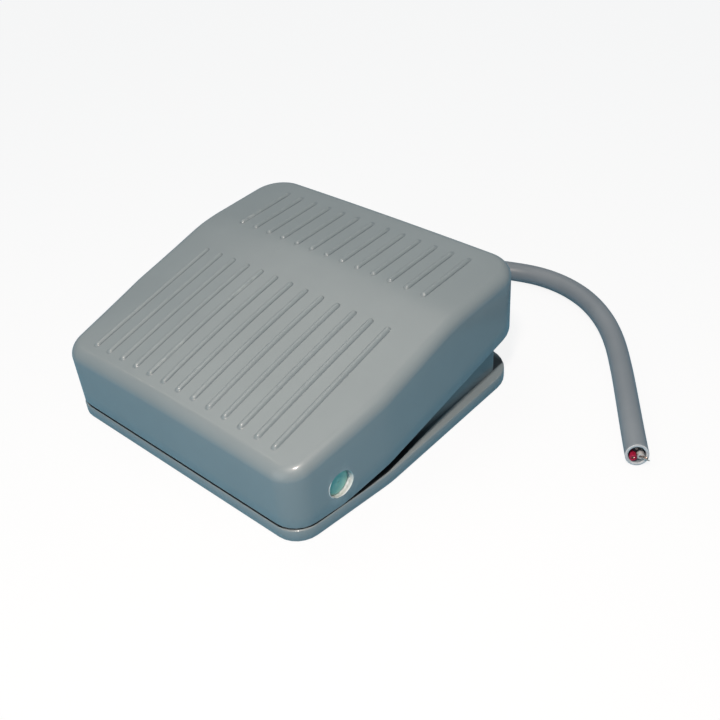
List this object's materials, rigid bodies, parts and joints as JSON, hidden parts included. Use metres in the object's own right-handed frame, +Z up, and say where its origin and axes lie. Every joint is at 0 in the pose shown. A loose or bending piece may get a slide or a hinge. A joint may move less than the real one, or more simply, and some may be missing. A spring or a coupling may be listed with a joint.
{
  "type": "industrial foot switch",
  "caption": "Foot switch: a ribbed die-cast pedal cover rocks on an axle over a low base and works a snap-action switch inside; a short cable leaves the rear.",
  "frame": {"origin": "on the standing surface, under the middle of the body's box (cable and boot left out)", "axes": "+X to the right seen from the hinge side, +Y from the hinge side to the cable side, +Z up"},
  "size_m": [0.1559, 0.1464, 0.0398],
  "materials": {
    "black_rubber": "matt black rubber",
    "boot_rubber": "moulded black rubber",
    "bush_nylon": "natural nylon",
    "cable_jacket": "satin grey PVC",
    "cast_enamel": "satin blue-grey enamel on die-cast aluminium",
    "copper_strand": "stranded copper",
    "core_black": "black PVC insulation",
    "core_red": "red PVC insulation",
    "core_white": "white PVC insulation",
    "fibre_card": "pressed fibre card",
    "passivated_steel": "zinc plated steel with a green passivated end",
    "plunger_red": "red moulded plastic",
    "sleeve_black": "shrink sleeve",
    "spring_steel": "bright spring steel",
    "switch_housing": "dark moulded phenolic",
    "terminal_brass": "tinned brass",
    "zinc_steel": "bright zinc plated steel"
  },
  "bodies": {
    "base": {"base_casting": "cast_enamel", "rubber_feet": "black_rubber", "pivot_axle": "passivated_steel", "axle_clips": "spring_steel", "rest_buffers": "black_rubber", "press_buffers": "black_rubber", "return_springs": "spring_steel", "switch_bracket": "zinc_steel", "bracket_screws": "zinc_steel", "insulating_card": "fibre_card", "switch_case": "switch_housing", "switch_cover": "switch_housing", "switch_screws": "zinc_steel", "switch_terminals": "terminal_brass", "terminal_sleeves": "sleeve_black", "lever_pin": "spring_steel", "cable_boot": "boot_rubber", "cable_clamp": "zinc_steel", "clamp_screws": "zinc_steel", "cable_tail": "cable_jacket", "wire_red": "core_red", "wire_black": "core_black", "wire_white": "core_white", "cable": "cable_jacket", "cable_cores": "copper_strand"},
    "pedal": {"pedal_cover": "cast_enamel", "pivot_bushes": "bush_nylon", "adjusting_screw": "zinc_steel", "adjusting_nut": "zinc_steel"},
    "lever": {"switch_lever": "spring_steel"},
    "plunger": {"switch_plunger": "plunger_red"}
  },
  "joints": [
    {"name": "pedal_hinge", "type": "hinge", "parent": "base", "child": "pedal", "pos_m": [0, -0.033, 0.0118], "axis": [1, 0, 0], "range_deg": [-8.8, 0], "stiffness_Nm_per_rad": 6, "springref_deg": 8.59, "deforming": ["return_springs"]},
    {"name": "lever_hinge", "type": "hinge", "parent": "base", "child": "lever", "pos_m": [-0.012, 0.0115, 0.0206], "axis": [1, 0, 0], "range_deg": [0, 11.5]},
    {"name": "plunger_slide", "type": "slide", "parent": "base", "child": "plunger", "axis": [0, 0, -1], "range_m": [0, 0.0012]}
  ],
  "couplings": [
    {"joint": "lever_hinge", "follows": "pedal_hinge", "ratio": -1.3},
    {"joint": "plunger_slide", "follows": "pedal_hinge", "m_per_rad": -0.0076}
  ]
}
